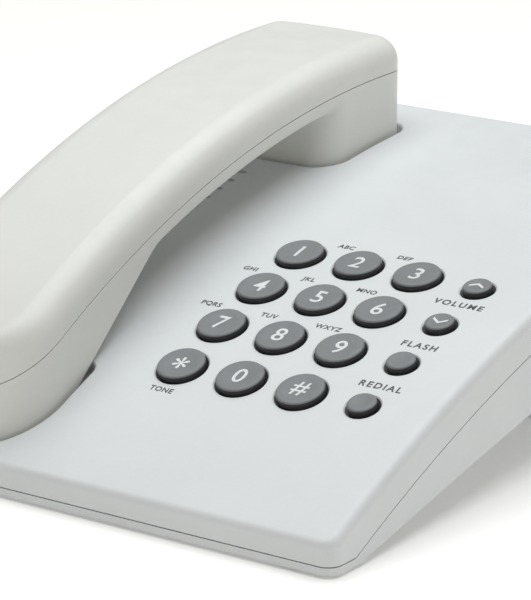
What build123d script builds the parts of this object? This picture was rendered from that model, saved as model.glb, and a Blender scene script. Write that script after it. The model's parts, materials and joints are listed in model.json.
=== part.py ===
"""Push-button desk telephone with a corded handset, modelled as its real pieces.

Millimetres. X runs across the telephone, Y from front to rear, Z up from the table.
The origin is on the table, under the middle of the base.
"""
from build123d import *
import math
import os

# ---------------------------------------------------------------- base: overall
body_width = 150.0          # across X
body_depth = 200.0          # front to rear
front_height = 8.7          # top surface above the table at the front edge
middle_height = 46.3        # the same half way back
rear_height = 59.9          # the same at the rear edge
under_front_height = 1.5    # lower edge of the side, where it leaves the front strip
under_middle_height = 19.9
under_rear_height = 38.0
front_strip = 14.0          # depth of the strip at the front that reaches the table
body_corner = 4.0           # plan radius of the corners
body_edge = 2.6             # radius of the soft edge round the top surface
case_wall = 2.4
side_strip = 9.5            # height of the top case's side, above the seam
front_lip = 3.0             # height of the seam at the front edge
seam_gap = 0.3
foot_height = 0.8           # how far the rubber feet stand out below the case
pan_drop = 1.2              # the floor pan hangs this far below the side's lower edge
pan_inset = 3.0

# ---------------------------------------------------------------- base: rear stand
stand_width = 110.0
stand_front = 28.0
stand_rear = 92.0
stand_corner = 6.0
keyhole_spacing = 83.0
keyhole_entry = 4.0         # radius that the screw head passes
keyhole_slot = 2.1          # radius that the screw's neck runs in
keyhole_travel = 9.0
keyhole_y = 54.0

# ---------------------------------------------------------------- keys
key_pitch = 18.2
first_row_y = -6.0          # the row of 1, 2 and 3
first_column_x = 0.3
key_radius = 6.3
small_key_radius = 3.8
key_gap = 0.6
small_key_gap = 0.8
key_proud = 1.5
key_travel = 1.5
hole_rim = 0.35             # chamfer round each key's hole
key_edge = 0.6
key_dish = 0.35
flange_lip = 1.9            # how far the flange reaches past the cap
flange_thick = 1.0
flange_gap = 0.3
stem_radius = 2.0
dome_radius = 4.6
small_dome_radius = 3.6
dome_height = 2.4
sheet_thick = 1.2
dome_clearance = 0.2

# ---------------------------------------------------------------- main board
board_depth = 10.6          # board face below the line joining the first and last rows
board_thick = 1.6
board_left = -17.0
board_right = 69.0
board_front_margin = 12.0   # in front of the last row of keys
board_rear_margin = 46.0    # behind the first row of keys

# ---------------------------------------------------------------- handset
handset_axis_x = -46.5      # its middle line
handset_width = 46.0
handset_rear = 80.0
handset_front = -92.5
rear_bow = 2.0              # both ends bulge this far in plan
front_bow = 2.5
crown_radius = 315.0        # side view: the crest of the handset is one long arc
crown_y = 75.0              # where that arc is highest
crown_height = 85.2
outer_depth = 9.4           # crest down to the parting line
inner_depth = 4.2           # parting line down to the lower edge of the grip
crest_corner = 7.2          # radius of the long soft edges and of both ends' upper edges
handset_wall = 2.2
handset_corner = 8.0        # plan radius at the ear end
mouth_corner = 18.0         # and at the mouth end
ear_block_corner = 8.0      # plan radius of the ear block's front corners
ear_block_front = 42.0
mouth_block_rear = -71.5    # at the bottom of the mouth block
throat_y = -36.0            # where the grip starts to swell into the mouth block
throat_round = 18.0
block_edge = 1.6
block_sink = 4.0            # how far both blocks sit below the base's top surface
parting_gap = 0.25

# ---------------------------------------------------------------- recesses in the base
recess_gap = 1.2            # round both ends and along the sides
recess_overrun = 15.0       # the pockets' plain blocks run on past the handset's ends
ear_recess_front_gap = 1.4
mouth_recess_rear_gap = 9.0 # the mouth block's rear face slopes, so it needs more room
mouth_recess_corner = 3.0   # plan corners of the mouth recess's rear end
recess_floor = 2.0
recess_rim = 0.8

# ---------------------------------------------------------------- small parts
slot_width = 1.5
slot_length = 18.0
slot_pitch = 5.6
slot_count = 5
last_slot_y = 30.6
slot_right = -43.3
speaker_radius = 14.0
plunger_travel = 4.0
plunger_size = 6.0
plunger_gap = 0.4
plunger_y = 62.0
plunger_offset = 15.0       # right of the handset's middle line
line_jack_x = 36.0
line_jack_size = (11.6, 12.0, 9.2)      # width, depth and height of its body
line_port_width = 9.8
line_port_height = 6.8
cord_jack_size = (10.0, 10.0, 8.0)
cord_port_width = 7.8
cord_port_height = 6.0
cord_jack_y = -30.0
knob_travel = 4.0
knob_length = 6.0
knob_height = 2.6
knob_proud = 1.2
ringer_knob_x = -28.0
mode_knob_x = 8.0
knob_gap = 0.35
foot_radius = 5.0
foot_recess = 1.0
screw_radius = 1.5
screw_head_radius = 2.8
screw_head_height = 1.8
screw_grip = 5.0            # thread in the upper boss
boss_radius = 3.6
receiver_radius = 14.0
receiver_height = 7.0
microphone_radius = 4.9
microphone_height = 6.0

# ---------------------------------------------------------------- main board screws
board_boss_radius = 2.6
board_screw_radius = 1.1
board_head_radius = 2.1
board_head_height = 1.3
board_screw_length = 6.0

# ---------------------------------------------------------------- ringer
speaker_ring_gap = 0.25     # between the sounder and the ring that holds it
speaker_ring_wall = 1.6
speaker_ring_depth = 8.0    # how far the ring hangs below the case
speaker_height = 5.5
gasket_thick = 1.4
arch_clearance = 0.4        # between the flat gasket and the arched case

# ---------------------------------------------------------------- hook switch and wall hook
shoulder_thick = 1.5        # of the plunger's stop
plunger_stem_radius = 1.6
switch_depth = 20.0         # of the hook switch's housing
spring_radius = 3.0
spring_wire = 0.35
spring_turns = 5
hook_width = 9.0
hook_thick = 3.0
hook_depth = 9.0
hook_fit = 0.15             # clearance of the hook in its slot

# ---------------------------------------------------------------- cord sockets
socket_back = 2.6           # solid behind a socket's port
socket_skin = 0.5           # under its latch groove
latch_width = 3.4           # groove for a plug's latch
port_margin = 0.3
jack_lift = 0.2

# ---------------------------------------------------------------- slide switches
knob_plate = 1.0            # plate under a slide knob that keeps it in
switch_length = 20.0
switch_height = 7.0
switch_thick = 4.5
actuator_size = 2.0
actuator_reach = 2.4        # how far the switch lever reaches into its knob

# ---------------------------------------------------------------- weights and grilles
ballast_size = (56.0, 42.0, 4.0)
post_radius = 2.2
post_inset = 5.0            # of the posts from the plate's corners
weight_size = (18.0, 40.0, 4.0)
handset_screw_ys = (34.0, -24.0)
grille_hole = 0.8           # radius of each hole in the earpiece's grille
grille_pitch = 3.6
grille_rings = 3

# ---------------------------------------------------------------- cutting blocks
far_above = 200.0           # higher than anything, for cutting blocks


# ================================================================ side-view geometry
def circle_through(p, q, r):
    """Centre (y, z) and radius of the circle through three side-view points."""
    ax, ay = q[0] - p[0], q[1] - p[1]
    bx, by = r[0] - p[0], r[1] - p[1]
    twice = 2 * (ax * by - ay * bx)
    a2, b2 = ax * ax + ay * ay, bx * bx + by * by
    cy = (by * a2 - ay * b2) / twice
    cz = (ax * b2 - bx * a2) / twice
    return (p[0] + cy, p[1] + cz, math.hypot(cy, cz))


def height_on(circle, y):
    """Height of a circle's upper side at y."""
    cy, cz, radius = circle
    return cz + math.sqrt(radius ** 2 - (y - cy) ** 2)


def point_on(circle, y):
    return (y, height_on(circle, y))


def arc_on(circle, y0, y1):
    """The stretch of a circle's upper side between two values of y."""
    return ThreePointArc(point_on(circle, y0), point_on(circle, (y0 + y1) / 2), point_on(circle, y1))


def offset_circle(circle, distance):
    """The same centre, with the radius grown by distance."""
    return (circle[0], circle[1], circle[2] + distance)


def chain(*pieces):
    """A closed face from points and edges given in order; lines join what is not joined."""
    edges = []
    first = None
    last = None
    for piece in pieces:
        if isinstance(piece, tuple):
            start = end = Vector(*piece)
        else:
            start, end = piece @ 0, piece @ 1
        if last is not None and (start - last).length > 1e-6:
            edges.append(Line(last, start))
        if not isinstance(piece, tuple):
            edges.append(piece)
        first = start if first is None else first
        last = end
    if (first - last).length > 1e-6:
        edges.append(Line(last, first))
    return make_face(edges)


def across(face, x0, x1):
    """A side-view face, extruded from x0 to x1."""
    solid = extrude(Plane.YZ * face, x1 - x0)
    return Pos(x0, 0, 0) * solid


def plan_block(x0, x1, y0, y1, z0, z1, corner):
    """An upright block with rounded plan corners."""
    sketch = RectangleRounded(x1 - x0, y1 - y0, corner)
    return Pos((x0 + x1) / 2, (y0 + y1) / 2, z0) * extrude(sketch, z1 - z0)


def upright(radius, x, y, z0, z1):
    return Pos(x, y, (z0 + z1) / 2) * Cylinder(radius, z1 - z0)


half_width = body_width / 2
half_depth = body_depth / 2
body_front = -half_depth
body_rear = half_depth
strip_rear = body_front + front_strip
case_bottom = foot_height

top_circle = circle_through(
    (body_front, front_height), (0, middle_height), (body_rear, rear_height))
under_circle = circle_through(
    (strip_rear, under_front_height), (0, under_middle_height), (body_rear, under_rear_height))
seam_circle = offset_circle(top_circle, -side_strip)
crown_circle = (crown_y, crown_height - crown_radius, crown_radius)
parting_circle = offset_circle(crown_circle, -outer_depth)
grip_edge_circle = offset_circle(parting_circle, -inner_depth)


def line_between(circle, y0, y1, drop):
    """Height, at any y, of the straight line a drop below an arc's chord."""
    z0 = height_on(circle, y0) - drop
    z1 = height_on(circle, y1) - drop
    slope = (z1 - z0) / (y1 - y0)
    return lambda y: z0 + slope * (y - y0)


ear_seat = line_between(top_circle, ear_block_front, handset_rear, block_sink)
mouth_seat = line_between(top_circle, handset_front, mouth_block_rear, block_sink)


# ================================================================ base: the two cases
def body_profile(inset):
    """Side view of the whole body, shrunk by inset."""
    top = offset_circle(top_circle, -inset)
    under = offset_circle(under_circle, inset)
    y0, y1 = body_front + inset, body_rear - inset
    return chain(
        arc_on(top, y0, y1),
        arc_on(under, y1, strip_rear - inset),
        (strip_rear - inset, case_bottom + inset),
        (y0, case_bottom + inset))


def body_outside():
    """The outer form of the base, with its soft upper edge, without the stand."""
    slab = across(body_profile(0), -half_width, half_width)
    slab &= plan_block(-half_width, half_width, body_front, body_rear, -10, far_above, body_corner)
    top_face = slab.faces().sort_by(SortBy.AREA)[-1]
    rim = [e for e in top_face.edges() if abs(e.center().X) < half_width + 1]
    return fillet(rim, body_edge)


def body_inside():
    """The hollow of the base, one wall inside its outer form."""
    w = case_wall
    slab = across(body_profile(w), -half_width + w, half_width - w)
    return slab & plan_block(
        -half_width + w, half_width - w, body_front + w, body_rear - w, -10, far_above, body_corner - w / 2)


def above_seam(drop):
    """Everything above the seam, or above a seam lowered by drop."""
    seam = offset_circle(seam_circle, -drop)
    lip = front_lip - drop
    lip_y = seam[0] - math.sqrt(seam[2] ** 2 - (lip - seam[1]) ** 2)
    face = chain(
        (body_front - 5, lip),
        arc_on(seam, lip_y, body_rear + 5),
        (body_rear + 5, far_above),
        (body_front - 5, far_above))
    return across(face, -half_width - 5, half_width + 5)


block_left = handset_axis_x - handset_width / 2
block_right = handset_axis_x + handset_width / 2


def recess(y0, y1, seat, corner, grow, floor_drop):
    """The pocket that a handset block sits in, following its outline; grow widens it all round."""
    face = chain(
        (y0 - grow, seat(y0 - grow) - floor_drop),
        (y1 + grow, seat(y1 + grow) - floor_drop),
        (y1 + grow, far_above / 2),
        (y0 - grow, far_above / 2))
    gap = recess_gap + grow
    solid = across(face, block_left - gap, block_right + gap) & handset_plan(-gap)
    return solid & plan_block(
        block_left - gap, block_right + gap, y0 - grow, y1 + grow, -10, far_above, corner + grow)


def both_recesses(grow, floor_drop):
    ear = recess(ear_block_front - ear_recess_front_gap, handset_rear + recess_overrun,
                 ear_seat, ear_block_corner + recess_gap, grow, floor_drop)
    mouth = recess(handset_front - recess_overrun, mouth_block_rear + mouth_recess_rear_gap,
                   mouth_seat, mouth_recess_corner, grow, floor_drop)
    return ear, mouth


# ---------------------------------------------------------------- keys: where they are
first_row_angle = math.asin((top_circle[0] - first_row_y) / top_circle[2])


def surface_plane(x, row):
    """Plane on the top surface at a key: Z is the surface normal, X runs across."""
    angle = first_row_angle + row * key_pitch / top_circle[2]
    y = top_circle[0] - top_circle[2] * math.sin(angle)
    z = top_circle[1] + top_circle[2] * math.cos(angle)
    normal = (0, -math.sin(angle), math.cos(angle))
    return Plane(origin=(x, y, z), x_dir=(1, 0, 0), z_dir=normal)


key_names = (
    ("key_1", "key_2", "key_3", "key_volume_up"),
    ("key_4", "key_5", "key_6", "key_volume_down"),
    ("key_7", "key_8", "key_9", "key_flash"),
    ("key_star", "key_0", "key_hash", "key_redial"),
)
row_count = len(key_names)
column_count = len(key_names[0])


def key_places():
    """Name, plane and whether small, for every key."""
    places = []
    for row, names in enumerate(key_names):
        for column, name in enumerate(names):
            x = first_column_x + column * key_pitch
            places.append((name, surface_plane(x, row), column == column_count - 1))
    return places


def keypad_plane():
    """Plane through the first and last rows of keys; the board lies parallel to it."""
    first = surface_plane(0, 0).origin
    last = surface_plane(0, row_count - 1).origin
    along = (first - last).normalized()
    middle_x = first_column_x + key_pitch * (column_count - 1) / 2
    middle = (first + last) * 0.5
    return Plane(origin=(middle_x, middle.Y, middle.Z), x_dir=(1, 0, 0),
                 z_dir=Vector(1, 0, 0).cross(along))


board_plane = keypad_plane()
row_span = key_pitch * (row_count - 1)
sheet_top = -board_depth + sheet_thick
dome_top = sheet_top + dome_height


def top_case(outside, inside):
    """Upper case: arched shell with key holes, sound slots and both handset recesses."""
    upper = outside & above_seam(0)
    shell = upper - inside
    shell += upper_bosses(outside)
    shell += speaker_ring()
    for tub in both_recesses(recess_floor, recess_floor):
        shell += tub & upper
    shell += hook_holder()
    for pocket in both_recesses(0, 0):
        shell -= pocket
    shell = soften_recess_rims(shell)
    for name, plane, small in key_places():
        hole = small_key_radius + small_key_gap if small else key_radius + key_gap
        shell -= plane * Cylinder(hole, 3 * case_wall)
        shell -= plane * Cone(hole, hole + 2 * hole_rim, 2 * hole_rim)
    for index in range(slot_count):
        y = last_slot_y - index * slot_pitch
        shell -= Pos(slot_right - slot_length / 2, y, height_on(top_circle, y) - 3) * extrude(
            SlotOverall(slot_length, slot_width), 6)
    for x, y in case_screw_places:
        shell -= upright(boss_pilot, x, y, boss_joint(y) - 1, boss_joint(y) + screw_grip)
    for x, y in board_screw_places:
        shell -= board_plane * upright(board_screw_radius + 0.05, x, y, -board_depth - 1, -board_depth + 5)
    shell -= plunger_hole()
    shell -= hook_slot()
    return shell


def soften_recess_rims(shell):
    """Round the edge where each recess breaks the top surface."""
    rim = []
    for edge in shell.edges():
        c = edge.center()
        near_top = abs(c.Z - height_on(top_circle, max(body_front, min(body_rear, c.Y)))) < 0.6
        inboard = block_left - 3 < c.X < block_right + 3
        if near_top and inboard and c.Y < body_rear - 6 and c.Y > body_front + 2:
            rim.append(edge)
    return fillet(rim, recess_rim)


def stand_block(inset, top):
    """The block under the rear that holds the slab at its angle, shrunk by inset."""
    return plan_block(-stand_width / 2 + inset, stand_width / 2 - inset,
                      stand_front + inset, stand_rear - inset,
                      case_bottom + inset, top, stand_corner - inset / 2)


def under_pan(inset):
    """The floor pan, which hangs a little below the side's lower edge."""
    under = offset_circle(under_circle, -pan_drop + inset)
    top = offset_circle(under_circle, case_wall)
    y0, y1 = strip_rear + pan_inset + inset, body_rear - pan_inset - inset
    face = chain(arc_on(top, y0, y1), arc_on(under, y1, y0))
    width = half_width - pan_inset - inset
    return across(face, -width, width)


foot_places = (
    (half_width - 13, body_front + front_strip / 2),
    (-half_width + 13, body_front + front_strip / 2),
    (stand_width / 2 - 9, stand_rear - 9),
    (-stand_width / 2 + 9, stand_rear - 9),
)
case_screw_places = (
    (half_width - 11, strip_rear + 5),
    (-10, strip_rear + 5),
    (-half_width + 11, -8),
    (-half_width + 11, -50),
    (half_width - 11, 72),
    (-8, body_rear - case_wall - 4.4),
)
boss_pilot = screw_radius + 0.05
boss_foot_radius = screw_head_radius + 0.3 + 1.5


def screw_seat(y):
    """Height of the face that a case screw's head pulls against."""
    return height_on(under_circle, max(y, strip_rear)) - pan_drop + screw_head_height + 0.9


def boss_joint(y):
    """Height where the lower and upper bosses meet."""
    return max(height_on(seam_circle, y), screw_seat(y) + 2) - 0.5


def upper_bosses(outside):
    """Bosses under the top surface, for the case screws and the board screws."""
    bosses = Part()
    for x, y in case_screw_places:
        bosses += upright(boss_radius, x, y, boss_joint(y), far_above / 2)
    for x, y in board_screw_places:
        bosses += board_plane * upright(board_boss_radius, x, y, -board_depth, 2)
    return bosses & outside


# ---------------------------------------------------------------- board screws
board_middle_x = board_plane.origin.X
rear_screw_y = row_span / 2 + board_rear_margin - 8
board_screw_places = (
    (-key_pitch, key_pitch), (key_pitch, key_pitch),
    (-key_pitch, -key_pitch), (key_pitch, -key_pitch),
    (board_left - board_middle_x + 6, rear_screw_y), (board_right - board_middle_x - 6, rear_screw_y),
)


def main_board():
    """The printed board, hung under the keypad on its bosses."""
    left, right = board_left - board_middle_x, board_right - board_middle_x
    front = -row_span / 2 - board_front_margin
    rear = row_span / 2 + board_rear_margin
    board = Pos((left + right) / 2, (front + rear) / 2, board_thick / 2) * Box(
        right - left, rear - front, board_thick)
    for x, y in board_screw_places:
        board -= upright(board_screw_radius + 0.2, x, y, -1, board_thick + 1)
    return board_plane * (Pos(0, 0, -board_depth - board_thick) * board)


def board_screws():
    """The six screws that hold the board, heads on its underside."""
    screws = Part()
    for x, y in board_screw_places:
        under = -board_depth - board_thick
        screws += upright(board_head_radius, x, y, under - board_head_height, under)
        screws += upright(board_screw_radius, x, y, under, under + board_screw_length)
    return board_plane * screws


# ---------------------------------------------------------------- keys and their rubber sheet
def key_axis_on_board(plane, depth):
    """Where a key's axis meets the plane at a depth under the keypad plane, in board x and y."""
    origin = board_plane.to_local_coords(plane.origin)
    tip = board_plane.to_local_coords(plane.origin - plane.z_dir)
    step = tip - origin
    scale = (depth - origin.Z) / step.Z
    return origin.X + step.X * scale, origin.Y + step.Y * scale, scale


def key(plane, small):
    """One key: dished cap, flange that keeps it in the case, and the stem that presses."""
    radius = small_key_radius if small else key_radius
    flange_top = -case_wall - flange_gap
    flange_bottom = flange_top - flange_thick
    stem_end = -key_axis_on_board(plane, dome_top)[2] + key_travel + dome_clearance
    cap = Pos(0, 0, (key_proud + flange_top) / 2) * Cylinder(radius, key_proud - flange_top)
    cap = fillet(cap.edges().sort_by(Axis.Z)[-1], key_edge)
    dish_radius = (radius ** 2 + key_dish ** 2) / (2 * key_dish)
    cap -= Pos(0, 0, key_proud - key_dish / 2 + dish_radius) * Sphere(dish_radius)
    body = cap + upright(radius + flange_lip, 0, 0, flange_bottom, flange_top)
    body += upright(stem_radius, 0, 0, stem_end, flange_bottom)
    return plane * body


def keypad_sheet():
    """Rubber sheet on the board, with one collapsing dome under every key."""
    margin = key_radius + flange_lip + 1
    width = key_pitch * (column_count - 1) + 2 * margin
    sheet = Pos(0, 0, sheet_thick / 2) * Box(width, row_span + 2 * margin, sheet_thick)
    for x, y in board_screw_places[:4]:
        sheet -= upright(board_boss_radius + 0.4, x, y, -1, sheet_thick + 1)
    for name, plane, small in key_places():
        x, y = key_axis_on_board(plane, dome_top)[:2]
        foot = small_dome_radius if small else dome_radius
        sheet += Pos(x, y, sheet_thick + dome_height / 2) * Cone(foot, stem_radius + 0.4, dome_height)
    return board_plane * (Pos(0, 0, -board_depth) * sheet)


# ---------------------------------------------------------------- ringer speaker
speaker_y = last_slot_y - slot_pitch * (slot_count - 1) / 2
speaker_x = slot_right - slot_length / 2


def surface_plane_at(x, y):
    """Plane on the top surface at any place, with Z along its normal."""
    angle = math.asin((top_circle[0] - y) / top_circle[2])
    normal = (0, -math.sin(angle), math.cos(angle))
    return Plane(origin=(x, y, height_on(top_circle, y)), x_dir=(1, 0, 0), z_dir=normal)


speaker_plane = surface_plane_at(speaker_x, speaker_y)


def speaker_ring():
    """Round wall under the sound slots that the speaker drops into."""
    inner = speaker_radius + speaker_ring_gap
    ring = upright(inner + speaker_ring_wall, 0, 0, -case_wall - speaker_ring_depth, -case_wall / 2)
    ring -= upright(inner, 0, 0, -case_wall - speaker_ring_depth - 1, 0)
    return speaker_plane * ring


def ringer_speaker():
    """Flat loudspeaker: frame, magnet and its rear cap."""
    top = -case_wall - gasket_thick
    frame = upright(speaker_radius, 0, 0, top - 2.0, top)
    frame -= Pos(0, 0, top) * Cone(3.0, speaker_radius - 2.2, 2.4)
    magnet = upright(speaker_radius * 0.62, 0, 0, top - speaker_height, top - 2.0)
    return speaker_plane * (frame + magnet)


def ringer_gasket():
    """Foam ring between the speaker and the case."""
    ring = upright(speaker_radius, 0, 0, -case_wall - gasket_thick, -case_wall - arch_clearance)
    ring -= upright(speaker_radius - 2.5, 0, 0, -case_wall - gasket_thick - 1, 0)
    return speaker_plane * ring


# ---------------------------------------------------------------- hook switch and hook tab
plunger_x = handset_axis_x + plunger_offset
plunger_top = ear_seat(plunger_y)
shoulder_size = plunger_size + 4
shoulder_top = plunger_top - recess_floor - plunger_travel - 1.8
switch_outer = shoulder_size + 2 * plunger_gap + 3
hook_y = ear_block_front + 5.0


def below_seat(seat, solid, drop):
    """The part of a solid that lies more than a drop under a seat plane."""
    face = chain(
        (body_front, seat(body_front) - drop), (body_rear, seat(body_rear) - drop),
        (body_rear, -50), (body_front, -50))
    return solid & across(face, -half_width, half_width)


def centred_box(x, y, size_x, size_y, z0, z1):
    return Pos(x, y, (z0 + z1) / 2) * Box(size_x, size_y, z1 - z0)


def plunger_hole():
    side = plunger_size + 2 * plunger_gap
    return centred_box(plunger_x, plunger_y, side, side, plunger_top - 6, plunger_top + 6)


def hookswitch_plunger():
    """Square plunger that the handset holds down, with its shoulder and stem."""
    head = centred_box(plunger_x, plunger_y, plunger_size, plunger_size,
                       shoulder_top, plunger_top + 2)
    head = below_seat(ear_seat, head, 0)
    shoulder = centred_box(plunger_x, plunger_y, shoulder_size, shoulder_size,
                           shoulder_top - shoulder_thick, shoulder_top)
    stem = upright(plunger_stem_radius, plunger_x, plunger_y,
                   plunger_top - switch_depth - 3, shoulder_top - shoulder_thick)
    return head + shoulder + stem


def hookswitch_body():
    """Square well under the ear recess that guides the plunger and holds its spring."""
    well = centred_box(plunger_x, plunger_y, switch_outer, switch_outer,
                       plunger_top - switch_depth, plunger_top)
    inner = shoulder_size + 2 * plunger_gap
    well -= centred_box(plunger_x, plunger_y, inner, inner,
                        plunger_top - switch_depth + 2, plunger_top + 1)
    well -= upright(plunger_stem_radius + 0.5, plunger_x, plunger_y,
                    plunger_top - switch_depth - 1, plunger_top)
    return below_seat(ear_seat, well, recess_floor)


def hookswitch_spring():
    """Compression spring under the plunger's shoulder, drawn at its pressed length."""
    bottom = plunger_top - switch_depth + 2 + spring_wire + 0.1
    length = shoulder_top - shoulder_thick - bottom - spring_wire - 0.1
    path = Helix(pitch=length / spring_turns, height=length, radius=spring_radius)
    start = path @ 0
    section = Plane(origin=start, z_dir=path % 0) * Circle(spring_wire)
    return Pos(plunger_x, plunger_y, bottom) * sweep(section, path)


def hook_slot():
    return centred_box(handset_axis_x, hook_y, hook_width + 2 * hook_fit, hook_thick + 2 * hook_fit,
                       ear_seat(hook_y) - hook_depth - hook_fit, ear_seat(hook_y) + 3)


def hook_holder():
    """Pocket under the ear recess that the wall-hanging tab is pushed into."""
    holder = centred_box(handset_axis_x, hook_y, hook_width + 3.4, hook_thick + 3.4,
                         ear_seat(hook_y) - hook_depth - 1.6, ear_seat(hook_y))
    return below_seat(ear_seat, holder, 0.5)


def handset_hook():
    """Push-in tab that keeps the handset on when the telephone hangs on a wall."""
    tab = centred_box(handset_axis_x, hook_y, hook_width, hook_thick,
                      ear_seat(hook_y) - hook_depth, ear_seat(hook_y) + 3)
    return below_seat(ear_seat, tab, 0)


# ---------------------------------------------------------------- sockets
line_jack_z = (height_on(under_circle, body_rear - case_wall) + case_wall
               + line_jack_size[2] / 2 + jack_lift)
cord_jack_z = (height_on(under_circle, cord_jack_y + cord_jack_size[0] / 2) + case_wall
               + cord_jack_size[2] / 2 + jack_lift)


def socket(size, port_width, port_height):
    """Modular socket facing +Y from the origin; its latch groove is on the lower side."""
    width, depth, height = size
    port_depth = depth - socket_back
    body = Pos(0, -depth / 2, 0) * Box(width, depth, height)
    body -= Pos(0, -port_depth / 2, 0) * Box(port_width, port_depth, port_height)
    groove = (height - port_height) / 2 - socket_skin
    body -= Pos(0, -port_depth / 2, -port_height / 2 - groove / 2) * Box(latch_width, port_depth, groove)
    return body


def port_opening(size, port_width, port_height, wall):
    """The hole in a wall, facing Y, that shows a socket's port and its latch groove."""
    low = -size[2] / 2 + socket_skin
    high = port_height / 2 + port_margin
    return Pos(0, 0, (low + high) / 2) * Box(port_width + 2 * port_margin, 4 * wall, high - low)


def line_jack():
    """Socket for the telephone line, behind the rear wall."""
    body = socket(line_jack_size, line_port_width, line_port_height)
    return Pos(line_jack_x, body_rear - case_wall, line_jack_z) * body


def cord_jack():
    """Socket for the handset's cord, behind the left wall."""
    body = Rot(0, 0, 90) * socket(cord_jack_size, cord_port_width, cord_port_height)
    return Pos(-half_width + case_wall, cord_jack_y, cord_jack_z) * body


def wall_ports():
    """Openings in the lower case in front of its two sockets."""
    line = port_opening(line_jack_size, line_port_width, line_port_height, case_wall)
    cord = Rot(0, 0, 90) * port_opening(cord_jack_size, cord_port_width, cord_port_height, case_wall)
    return Pos(line_jack_x, body_rear, line_jack_z) * line + Pos(-half_width, cord_jack_y, cord_jack_z) * cord


# ---------------------------------------------------------------- slide switches at the rear
knob_z = line_jack_z
knob_pocket = knob_proud + 0.1
knob_wall = case_wall - knob_pocket


def knob_slot(x):
    """Slot for a knob, in a shallow pocket that keeps the knob within the rear wall."""
    length = knob_length + knob_travel + 2 * knob_gap
    height = knob_height + 2 * knob_gap
    slot = centred_box(x, body_rear, length, 4 * case_wall, knob_z - height / 2, knob_z + height / 2)
    slot += Pos(x, body_rear, knob_z) * Box(length + 4, 2 * knob_pocket, height + 3)
    return slot


def slide_knob(x):
    """Knob of a slide switch, at the front-view left end of its travel."""
    start = x - knob_travel / 2
    outer = body_rear - 0.1
    inner = body_rear - case_wall - knob_gap
    nib = Pos(start, (outer + inner) / 2, knob_z) * Box(knob_length, outer - inner, knob_height)
    plate = Pos(start, inner - knob_plate / 2, knob_z) * Box(
        knob_length + 3, knob_plate, knob_height + 2.4)
    actuator = Pos(start, inner - knob_plate - actuator_reach / 2, knob_z) * Box(
        actuator_size, actuator_reach, actuator_size)
    for index in (-1, 0, 1):
        nib -= Pos(start + index * knob_length / 4, outer, knob_z) * Box(0.5, 0.6, knob_height)
    return nib + plate + actuator


def slide_switch(x):
    """Switch body behind a knob, standing off the wall on two ears."""
    wall = body_rear - case_wall
    face = wall - knob_gap - knob_plate - 0.4
    body = Pos(x, face - switch_thick / 2, knob_z) * Box(switch_length, switch_thick, switch_height)
    slot = actuator_size + knob_travel + 2 * knob_gap
    body -= Pos(x, face - actuator_reach / 2 - 0.3, knob_z) * Box(
        slot, actuator_reach + 0.6, actuator_size + 2 * knob_gap)
    for side in (-1, 1):
        ear_x = x + side * (switch_length / 2 - 1.2)
        body += Pos(ear_x, (wall + face) / 2, knob_z) * Box(2.4, wall - face, switch_height)
    return body


# ---------------------------------------------------------------- lower case and what it carries
def lower_bosses():
    bosses = Part()
    for x, y in case_screw_places:
        bosses += upright(boss_foot_radius, x, y, screw_seat(y) - screw_head_height - 1,
                          screw_seat(y) + 1.2)
        bosses += upright(boss_radius, x, y, screw_seat(y), boss_joint(y))
    return bosses


def keyhole(x):
    """Keyhole in the stand's floor: round entry, slot towards the rear."""
    hole = Circle(keyhole_entry)
    neck = Pos(0, keyhole_travel / 2) * Rectangle(2 * keyhole_slot, keyhole_travel)
    neck += Pos(0, keyhole_travel) * Circle(keyhole_slot)
    return Pos(x, keyhole_y, case_bottom - 1) * extrude(hole + neck, case_wall + 2)


def bottom_case(outside, inside):
    """Lower case: side strip, floor pan, rear stand, bosses, sockets' ports and keyholes."""
    lower = outside - above_seam(seam_gap)
    full = lower + stand_block(0, under_rear_height) + under_pan(0)
    shell = full - inside - under_pan(case_wall) - stand_block(case_wall, under_rear_height + 2 * case_wall)
    shell += lower_bosses() & (full + (inside - above_seam(-60)))
    for x, y in case_screw_places:
        seat = screw_seat(y)
        shell -= upright(screw_radius + 0.2, x, y, seat - 1, boss_joint(y) + 1)
        shell -= upright(screw_head_radius + 0.3, x, y, seat - 20, seat)
    for x, y in foot_places:
        shell -= upright(foot_radius, x, y, -1, case_bottom + foot_recess)
    for side in (-1, 1):
        shell -= keyhole(side * keyhole_spacing / 2)
    shell -= wall_ports()
    shell -= knob_slot(ringer_knob_x)
    shell -= knob_slot(mode_knob_x)
    shell += ballast_posts()
    return shell


def case_screws():
    screws = Part()
    for x, y in case_screw_places:
        seat = screw_seat(y)
        screws += upright(screw_head_radius, x, y, seat - screw_head_height, seat)
        screws += upright(screw_radius, x, y, seat, boss_joint(y) + screw_grip - 0.5)
    return screws


def rubber_foot(x, y):
    foot = upright(foot_radius, x, y, 0, case_bottom + foot_recess)
    return chamfer(foot.edges().sort_by(Axis.Z)[0], 0.4)


ballast_y = (stand_front + stand_rear) / 2
ballast_floor = case_bottom + case_wall + 1.0


def ballast_corners():
    for side_x in (-1, 1):
        for side_y in (-1, 1):
            yield (side_x * (ballast_size[0] / 2 - post_inset),
                   ballast_y + side_y * (ballast_size[1] / 2 - post_inset))


def ballast_posts():
    posts = Part()
    for x, y in ballast_corners():
        posts += upright(post_radius + 1.6, x, y, case_bottom + 0.5, ballast_floor)
        posts += upright(post_radius, x, y, case_bottom + 0.5, ballast_floor + ballast_size[2])
    return posts


def ballast_plate():
    """Steel plate in the stand that stops the telephone from sliding about."""
    plate = centred_box(0, ballast_y, ballast_size[0], ballast_size[1],
                        ballast_floor, ballast_floor + ballast_size[2])
    for x, y in ballast_corners():
        plate -= upright(post_radius + 0.1, x, y, 0, ballast_floor + 20)
    return plate


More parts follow.
